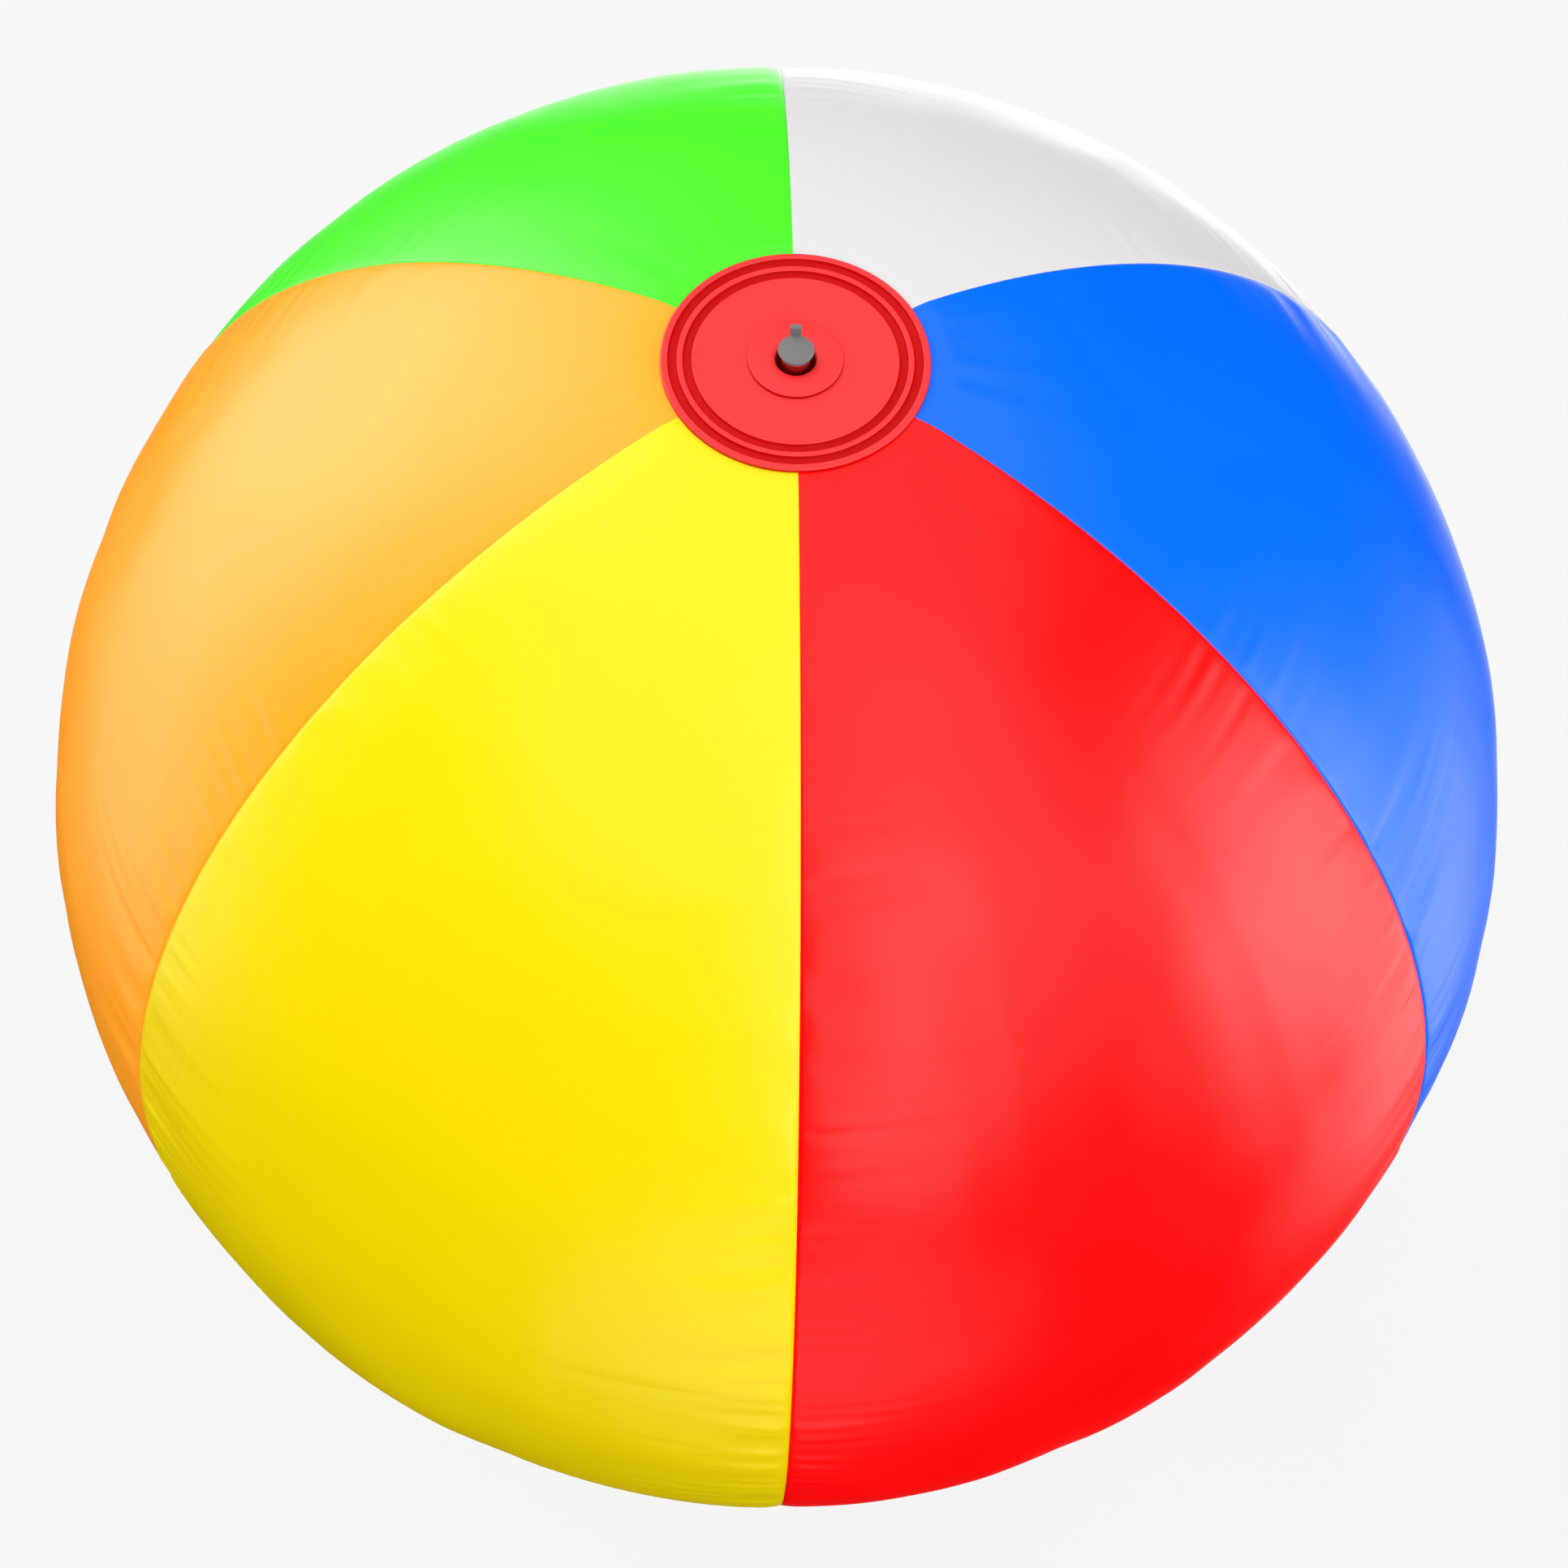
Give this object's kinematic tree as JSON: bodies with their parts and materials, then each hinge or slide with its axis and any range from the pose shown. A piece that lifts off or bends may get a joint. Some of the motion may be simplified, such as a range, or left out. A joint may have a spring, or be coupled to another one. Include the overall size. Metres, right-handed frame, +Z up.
{
  "type": "inflatable beach ball",
  "caption": "Blown-up vinyl beach ball of coloured gores, with end caps and a pop-in valve whose plug hangs on a strap.",
  "frame": {"origin": "middle of the bottom end cap's outer face, where the ball stands", "axes": "+Z up along the ball's axis from the plain end cap to the valve; -Y is the front, where the seam between the yellow and the red gore runs; the plug's strap is at +Y"},
  "size_m": [0.39, 0.39, 0.3919],
  "materials": {
    "red_vinyl": "satin",
    "blue_vinyl": "satin",
    "white_vinyl": "satin",
    "green_vinyl": "satin",
    "orange_vinyl": "satin",
    "yellow_vinyl": "satin",
    "cap_vinyl": "satin",
    "valve_vinyl": "satin",
    "plug_vinyl": "satin"
  },
  "bodies": {
    "ball": {"red_gore": "red_vinyl", "blue_gore": "blue_vinyl", "white_gore": "white_vinyl", "green_gore": "green_vinyl", "orange_gore": "orange_vinyl", "yellow_gore": "yellow_vinyl", "top_cap": "cap_vinyl", "bottom_cap": "cap_vinyl", "valve_flange": "valve_vinyl", "rolling_membrane": "valve_vinyl"},
    "valve_stem": {"stem_tube": "valve_vinyl", "tether_ring": "plug_vinyl", "tether_strap": "plug_vinyl"},
    "plug": {"plug": "plug_vinyl"},
    "check_flap": {"check_flap": "valve_vinyl"}
  },
  "joints": [
    {"name": "valve_slide", "type": "slide", "parent": "ball", "child": "valve_stem", "axis": [0, 0, 1], "range_m": [-0.0015, 0.008], "deforming": ["rolling_membrane"]},
    {"name": "plug_swing", "type": "hinge", "parent": "valve_stem", "child": "plug", "pos_m": [0, 0.00565, 0.38792], "axis": [-1, 0, 0], "range_deg": [0, 100], "deforming": ["tether_strap"]},
    {"name": "flap_swing", "type": "hinge", "parent": "valve_stem", "child": "check_flap", "pos_m": [0, 0.003, 0.37562], "axis": [1, 0, 0], "range_deg": [0, 60], "stiffness_Nm_per_rad": 0.0001, "springref_deg": -5.73}
  ]
}
